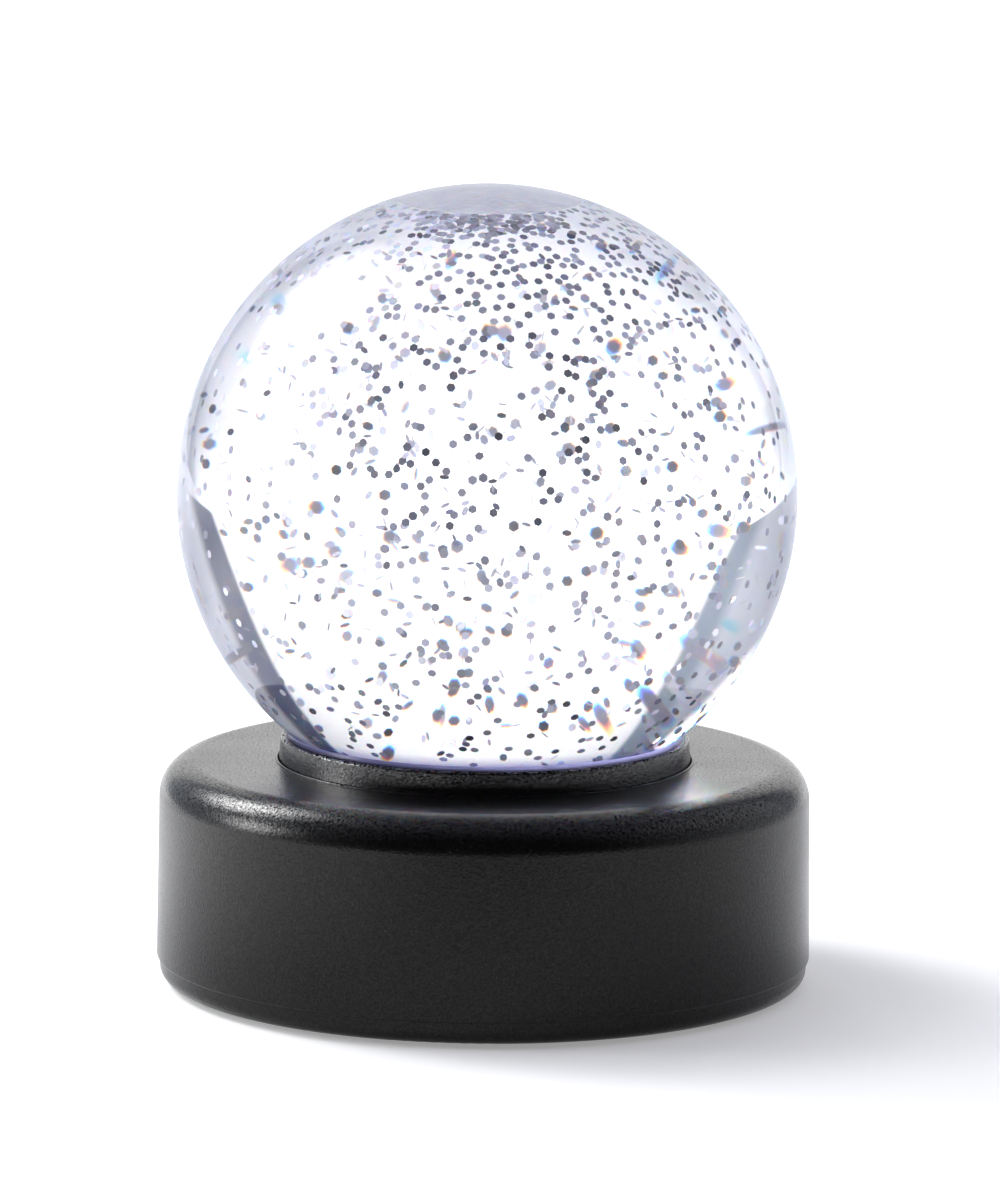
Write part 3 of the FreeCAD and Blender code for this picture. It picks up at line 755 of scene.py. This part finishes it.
def glitter():
    """All flakes as one mesh of thin hexagonal plates."""
    random = np.random.default_rng(GLITTER_SEED)
    free, free_directions = free_flakes(random)
    wall, wall_directions = wall_flakes(random, free)
    centres = np.vstack([free, wall])
    directions = np.vstack([free_directions, wall_directions])
    turns = facing(directions, random.uniform(0, math.pi / 3, len(centres)))
    plate, plate_faces = hexagonal_plate()
    vertices = np.einsum("nij,kj->nki", turns, plate) + centres[:, None, :]
    vertices += np.array(GLOBE_CENTRE)
    faces = []
    for first in range(0, len(plate) * len(centres), len(plate)):
        faces += [[first + corner for corner in face] for face in plate_faces]
    mesh = bpy.data.meshes.new("glitter")
    mesh.from_pydata(vertices.reshape(-1, 3).tolist(), [], faces)
    mesh.materials.append(glitter_silver())
    piece = placed("glitter", mesh)
    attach(piece, "liquid")
    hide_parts("glitter_flakes")


# ---- pieces: glue, collar and plinth ----
GLUE_BEAD_WIDTH = 0.7 * MM
GLUE_BEAD_HOLLOW = 0.1  # of the width, inwards from a straight slope
GLUE_BEAD_WAIST = 0.4  # of the width, above the lip
GLUE_BEAD_OVERLAP = 0.15 * MM  # over the edge of the collar's seat
GLUE_BEAD_CLEARANCE = 0.01 * MM
COLLAR_LEAN = 0.3 * MM
COLLAR_LIP_EDGE = 0.5 * MM
HOLE_CLEARANCE = 0.15 * MM
SEAM_EDGE = 0.35 * MM


def glue_bead():
    """Bead of glue on the collar's lip, against the ball."""
    seat_radius = GLOBE_RADIUS + ADHESIVE_GAP
    lip_drop = GLOBE_CENTRE.z - COLLAR_TOP_Z
    inner = math.sqrt(seat_radius**2 - lip_drop**2)
    outer = inner + GLUE_BEAD_WIDTH
    upper = math.sqrt(GLOBE_RADIUS**2 - (lip_drop - GLUE_BEAD_WIDTH) ** 2)
    waist = (outer + upper) / 2 - GLUE_BEAD_HOLLOW * GLUE_BEAD_WIDTH
    section = [
        (inner - GLUE_BEAD_OVERLAP, COLLAR_TOP_Z),
        (outer, COLLAR_TOP_Z),
        (waist, COLLAR_TOP_Z + GLUE_BEAD_WAIST * GLUE_BEAD_WIDTH),
        (upper + GLUE_BEAD_CLEARANCE, COLLAR_TOP_Z + GLUE_BEAD_WIDTH),
    ]
    piece = turned("glue_bead", [(0, section)], [glue_milky()], closed=True)
    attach(piece, "stand")
    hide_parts("globe_adhesive")


def collar():
    """Smooth black ring with a round seat, and a flange under the plinth's top."""
    seat_radius = GLOBE_RADIUS + ADHESIVE_GAP
    lip_radius = COLLAR_RADIUS - COLLAR_LEAN
    seat_top = math.degrees(math.asin((COLLAR_TOP_Z - GLOBE_CENTRE.z) / seat_radius))
    seat_low = elevation_at(seat_radius, COLLAR_BORE_RADIUS)
    flange_top_z = COLLAR_FLANGE_Z + SHELL_WALL
    section = [
        (COLLAR_BORE_RADIUS, COLLAR_FLANGE_Z),
        (COLLAR_FLANGE_RADIUS, COLLAR_FLANGE_Z),
        (COLLAR_FLANGE_RADIUS, flange_top_z),
        (COLLAR_RADIUS, flange_top_z),
        (COLLAR_RADIUS, BASE_TOP_Z),
        *arc(lip_radius - COLLAR_LIP_EDGE, COLLAR_TOP_Z - COLLAR_LIP_EDGE, COLLAR_LIP_EDGE, 0, 90),
        *ball_arc(seat_radius, seat_top, seat_low),
    ]
    piece = turned("collar_ring", [(0, section)], [collar_black()], closed=True)
    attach(piece, "stand")
    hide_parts("collar")


def plinth(black):
    """The plinth's moulding: a fine raised line round the hole, and a broad rounded shoulder."""
    hole = COLLAR_RADIUS + HOLE_CLEARANCE
    shoulder_z = BASE_TOP_Z - SHOULDER_RADIUS
    shoulder_centre = BASE_RADIUS - WALL_LEAN - SHOULDER_RADIUS
    section = [
        *arc(hole + HOLE_BEAD_RADIUS, BASE_TOP_Z, HOLE_BEAD_RADIUS, 180, 0),
        *arc(shoulder_centre, shoulder_z, SHOULDER_RADIUS, 90, 0),
        *arc(BASE_RADIUS - SEAM_EDGE, SEAM_Z + SEAM_EDGE, SEAM_EDGE, 0, -90),
        (BASE_RADIUS - SHELL_WALL, SEAM_Z),
        *arc(shoulder_centre, shoulder_z, SHOULDER_RADIUS - SHELL_WALL, 0, 90),
        (hole, BASE_TOP_Z - SHELL_WALL),
    ]
    piece = turned("plinth_shell", [(0, section)], [black], closed=True)
    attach(piece, "stand")
    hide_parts("base_shell")


def dress_cad_nodes(black):
    """Materials for the CAD nodes that are shown as they are."""
    rubber = moulded_rubber("foot_rubber", 0.03)
    steel = zinc_steel()
    dressed = {
        "bottom_cover": black,
        "neck_stopper": moulded_rubber("stopper_rubber", 0.04),
        "fill_plug": moulded_rubber("plug_plastic", 0.5),
        "neck_sealant": moulded_rubber("sealant_rubber", 0.45),
        "stopper_pad": moulded_rubber("pad_foam", 0.06),
        "collar_screws": steel,
        "cover_screws": steel,
    }
    for node in frame["nodes"]:
        if node.startswith("foot_"):
            dressed[node] = rubber
    for node, material in dressed.items():
        mesh = frame["nodes"][node].data
        mesh.materials.clear()
        mesh.materials.append(material)


# ---- stage: white backdrop, room and floor ----
BACKDROP_RIGHT = 28.5  # degrees right of straight ahead, seen from the ball, where the edge is upright
BACKDROP_LEFT = 22.0
BACKDROP_FLARE = 12.0  # degrees more at the floor, where the paper sweeps forwards
FLARE_WHOLE = -5.0  # degrees of elevation at which the flare is whole
FLARE_FALL = 8.5  # degrees of elevation over which the flare dies away
BACKDROP_TOP = 47.0  # degrees above the floor
BACKDROP_WHITE = (1.4, 1.4, 1.4, 1)
EDGE_SOFTNESS = 0.012  # radians each way
TOP_SOFTNESS = 0.03
GAP_SOFTNESS = 4.0  # degrees
RIGHT_GAP_WIDTH = 8.0
LEFT_GAP_WIDTH = 5.0
RIGHT_GAP = (0.01, 0.03, 0.12, 1)
LEFT_GAP = (0.26, 0.33, 0.43, 1)
RIGHT_ROOM = (0.84, 0.86, 0.93, 1)
LEFT_ROOM = (0.66, 0.7, 0.78, 1)
CEILING = (0.52, 0.52, 0.64, 1)
BEHIND_CAMERA = (0.045, 0.045, 0.05, 1)
ROOM_STARTS = (-0.65, 0.15)  # forward part of the direction, from the dark behind the camera to the room
FLOOR_FRONT = -0.45
FLOOR_BACK = 3.0
FLOOR_SIDE = 0.62
PAPER_SIZE = 60 * MM
PAPER_TONES = (0.84, 0.86)
FLOOR_GLOW = 0.3
FAR_FLOOR = (0.22, 0.6)  # distances in metres between which the floor turns evenly bright
CORRIDOR = 43.0  # degrees: further to the side than this, the floor is greyer
CORRIDOR_SOFTNESS = 0.02
CORRIDOR_GLOW = (0.8, 0.15)  # in the corridor and beside it
LEFT_GLOW = 1.3  # extra light beside the plinth, as from white cards
LEFT_GLOW_X = (-0.07, -0.18)  # x between which it comes in
RIGHT_GLOW = 0.5
RIGHT_GLOW_X = (0.09, 0.17)
SIDE_GLOW_Y = (0.16, 0.06)


def beyond_edge(tree, azimuth, elevation, upright):
    """Azimuth in radians past one edge of the white backdrop. The edge flares out near the floor."""
    fall = math.radians(FLARE_FALL)
    above = math_node(tree, "MULTIPLY_ADD", elevation, -1 / fall, math.radians(FLARE_WHOLE) / fall)
    flare = math_node(tree, "MULTIPLY", math_node(tree, "EXPONENT", above), math.radians(BACKDROP_FLARE))
    edge = math_node(tree, "ADD", flare, math.radians(upright))
    return math_node(tree, "SUBTRACT", azimuth, edge)


def side_of_backdrop(tree, beyond, gap_width, gap, room):
    """White up to the backdrop's edge, a darker gap behind it, then the room."""
    gap_end = math.radians(gap_width + GAP_SOFTNESS)
    past_gap = ranged(tree, beyond, math.radians(gap_width), gap_end, 0.0, 1.0)
    past_edge = ranged(tree, beyond, -EDGE_SOFTNESS, EDGE_SOFTNESS, 0.0, 1.0)
    return mixed_colour(tree, past_edge, BACKDROP_WHITE, mixed_colour(tree, past_gap, gap, room))


def world():
    """White backdrop ahead, pale room beside it, dark behind the camera, which itself sees only white."""
    scene_world = bpy.data.worlds.new("studio")
    bpy.context.scene.world = scene_world
    scene_world.use_nodes = True
    tree = scene_world.node_tree
    tree.nodes.clear()
    direction = add(tree, "ShaderNodeTexCoord").outputs["Generated"]
    part = add(tree, "ShaderNodeSeparateXYZ", {0: direction}).outputs
    azimuth = math_node(tree, "ARCTAN2", part[0], part[1])
    leftwards = math_node(tree, "MULTIPLY", azimuth, -1.0)
    elevation = math_node(tree, "ARCSINE", part[2])
    past_right = beyond_edge(tree, azimuth, elevation, BACKDROP_RIGHT)
    past_left = beyond_edge(tree, leftwards, elevation, BACKDROP_LEFT)
    right = side_of_backdrop(tree, past_right, RIGHT_GAP_WIDTH, RIGHT_GAP, RIGHT_ROOM)
    left = side_of_backdrop(tree, past_left, LEFT_GAP_WIDTH, LEFT_GAP, LEFT_ROOM)
    sideways = mixed_colour(tree, math_node(tree, "GREATER_THAN", azimuth, 0.0), left, right)
    top = math.radians(BACKDROP_TOP)
    above = ranged(tree, elevation, top - TOP_SOFTNESS, top + TOP_SOFTNESS, 0.0, 1.0)
    front_half = mixed_colour(tree, above, sideways, CEILING)
    ahead = ranged(tree, part[1], *ROOM_STARTS, 0.0, 1.0)
    room = mixed_colour(tree, ahead, BEHIND_CAMERA, front_half)
    seen = add(tree, "ShaderNodeLightPath").outputs["Is Camera Ray"]
    final = mixed_colour(tree, seen, room, BACKDROP_WHITE)
    background = add(tree, "ShaderNodeBackground", {"Color": final, "Strength": 1.0})
    add(tree, "ShaderNodeOutputWorld", {"Surface": background.outputs[0]})


def floor_white():
    """White table, lit by the lamps near the object and evenly white further off, greyer beside it."""
    material, tree = new_material("floor_white")
    tone = spread(tree, noise(tree, PAPER_SIZE), *PAPER_TONES)
    place = add(tree, "ShaderNodeTexCoord").outputs["Object"]
    x, y = add(tree, "ShaderNodeSeparateXYZ", {0: place}).outputs[:2]
    distance = add(tree, "ShaderNodeVectorMath", {0: place}, operation="LENGTH").outputs["Value"]
    far = ranged(tree, distance, *FAR_FLOOR, 0.0, 1.0)
    azimuth = math_node(tree, "ABSOLUTE", math_node(tree, "ARCTAN2", x, y))
    low = math.radians(CORRIDOR) - CORRIDOR_SOFTNESS
    high = math.radians(CORRIDOR) + CORRIDOR_SOFTNESS
    glow = math_node(tree, "MULTIPLY", far, ranged(tree, azimuth, low, high, *CORRIDOR_GLOW))
    left_side = ranged(tree, x, *LEFT_GLOW_X, 0.0, LEFT_GLOW)
    right_side = ranged(tree, x, *RIGHT_GLOW_X, 0.0, RIGHT_GLOW)
    sides = math_node(tree, "ADD", left_side, right_side)
    side_glow = math_node(tree, "MULTIPLY", sides, ranged(tree, y, *SIDE_GLOW_Y, 0.0, 1.0))
    strength = math_node(tree, "ADD", math_node(tree, "ADD", glow, side_glow), FLOOR_GLOW)
    lit = add(tree, "ShaderNodeBsdfDiffuse", {"Color": tone}).outputs[0]
    glowing = add(tree, "ShaderNodeEmission", {"Strength": strength}).outputs[0]
    return finish_material(material, add(tree, "ShaderNodeAddShader", {0: lit, 1: glowing}).outputs[0])


def floor():
    """Plain white table top."""
    mesh = bpy.data.meshes.new("floor")
    corners = [
        (-FLOOR_SIDE, FLOOR_FRONT, 0),
        (FLOOR_SIDE, FLOOR_FRONT, 0),
        (FLOOR_SIDE, FLOOR_BACK, 0),
        (-FLOOR_SIDE, FLOOR_BACK, 0),
    ]
    mesh.from_pydata(corners, [], [[0, 1, 2, 3]])
    mesh.materials.append(floor_white())
    placed("floor", mesh)


# ---- stage: lamps ----
LAMP_EDGE = 0.62  # distance from the lamp's middle where it has faded out, as a share of its side
LAMP_FADE = 2.0
LAMP_GAIN = 3.0  # makes up for the fading


def lamp(name, azimuth, elevation, distance, size, power):
    """Soft square lamp that faces the ball and fades to its edges. Azimuth is in degrees from +X."""
    data = bpy.data.lights.new(name, "AREA")
    data.shape = "SQUARE"
    data.size = size
    data.energy = power
    data.use_nodes = True
    tree = data.node_tree
    tree.nodes.clear()
    across = add(tree, "ShaderNodeNewGeometry").outputs["Parametric"]
    sockets = {0: across, 1: (0.5, 0.5, 0.0)}
    off_middle = add(tree, "ShaderNodeVectorMath", sockets, operation="DISTANCE").outputs["Value"]
    fade = math_node(tree, "POWER", ranged(tree, off_middle, 0.0, LAMP_EDGE, 1.0, 0.0), LAMP_FADE)
    strength = math_node(tree, "MULTIPLY", fade, LAMP_GAIN)
    emission = add(tree, "ShaderNodeEmission", {"Strength": strength})
    add(tree, "ShaderNodeOutputLight", {"Surface": emission.outputs[0]})
    turn, rise = math.radians(azimuth), math.radians(elevation)
    away = Vector((math.cos(turn) * math.cos(rise), math.sin(turn) * math.cos(rise), math.sin(rise)))
    piece = placed(name, data)
    piece.location = Vector((0, 0, BASE_TOP_Z)) + away * distance
    piece.rotation_mode = "QUATERNION"
    piece.rotation_quaternion = away.to_track_quat("Z", "Y")
    piece.visible_camera = False


def lamps():
    """A large key lamp behind on the left, and a low card on the left."""
    lamp("key", azimuth=148, elevation=41, distance=1.4, size=0.98, power=30)
    lamp("side_card", azimuth=180, elevation=14, distance=1.4, size=0.84, power=16)


# ---- camera ----
CAMERA_ELEVATION = 9.415  # degrees
CAMERA_DISTANCE = 1181.3 * MM
CAMERA_ROLL = 0.539  # degrees
CAMERA_LENS = 219.8  # millimetres, as is the sensor
CAMERA_SENSOR = 36.0
CAMERA_CLIP = (0.05, 20.0)
CAMERA_TARGET = Vector((2.228 * MM, 0, 62.37 * MM))
BOUNCES = {
    "max_bounces": 16,
    "transmission_bounces": 14,
    "transparent_max_bounces": 24,
    "glossy_bounces": 6,
    "volume_bounces": 1,
}


def camera():
    """Long lens, a little above the ball's middle, looking along +Y."""
    data = bpy.data.cameras.new("camera")
    data.sensor_width = CAMERA_SENSOR
    data.lens = CAMERA_LENS
    data.clip_start, data.clip_end = CAMERA_CLIP
    rise, roll = math.radians(CAMERA_ELEVATION), math.radians(CAMERA_ROLL)
    back = Vector((0, -math.cos(rise), math.sin(rise)))
    right = Vector((1, 0, 0))
    up = back.cross(right)
    rolled_right = right * math.cos(roll) + up * math.sin(roll)
    rolled_up = up * math.cos(roll) - right * math.sin(roll)
    axes = Matrix((rolled_right, rolled_up, back)).transposed().to_4x4()
    piece = placed("camera", data)
    piece.matrix_world = Matrix.Translation(CAMERA_TARGET + back * CAMERA_DISTANCE) @ axes
    bpy.context.scene.camera = piece


def light_paths():
    """Enough bounces for the ball's four surfaces and the flakes between them."""
    for name, count in BOUNCES.items():
        setattr(bpy.context.scene.cycles, name, count)
    bpy.context.scene.view_settings.view_transform = "Standard"


def main():
    ball()
    liquid()
    glitter()
    glue_bead()
    collar()
    black = plinth_black()
    plinth(black)
    dress_cad_nodes(black)
    world()
    floor()
    lamps()
    camera()
    light_paths()


main()
